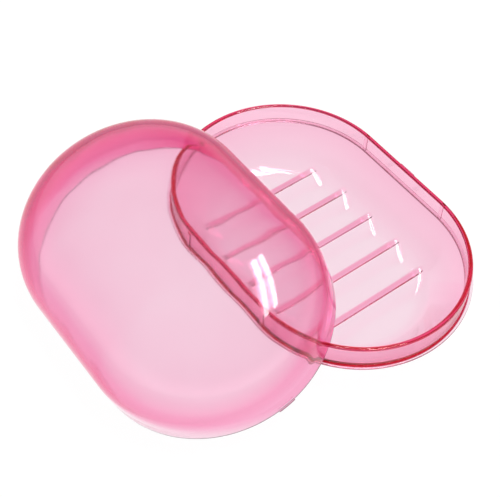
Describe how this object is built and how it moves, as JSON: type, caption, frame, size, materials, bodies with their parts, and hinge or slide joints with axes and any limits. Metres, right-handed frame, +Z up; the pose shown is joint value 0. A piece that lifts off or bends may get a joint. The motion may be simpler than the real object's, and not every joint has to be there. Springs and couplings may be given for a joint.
{
  "type": "soap dish",
  "caption": "Stadium-shaped travel soap box in clear pink plastic, shown open: a shallow tray with a ridged floor stands level and its domed lid leans on the tray's lip.",
  "frame": {"origin": "on the ground, at the middle of the footprint of the tray and the leaning lid", "axes": "+Z up, X along the long sides of the tray and the lid, +Y from the lid towards the tray"},
  "size_m": [0.12, 0.1252, 0.0464],
  "materials": {
    "clear_pink_plastic": "clear, glossy, tinted through its thickness"
  },
  "bodies": {
    "tray": {"tray": "clear_pink_plastic"},
    "lid": {"lid": "clear_pink_plastic"}
  },
  "joints": [
    {"name": "lid_lift", "type": "slide", "parent": "tray", "child": "lid", "axis": [0, 0, 1], "range_m": [0, 0.06]}
  ]
}
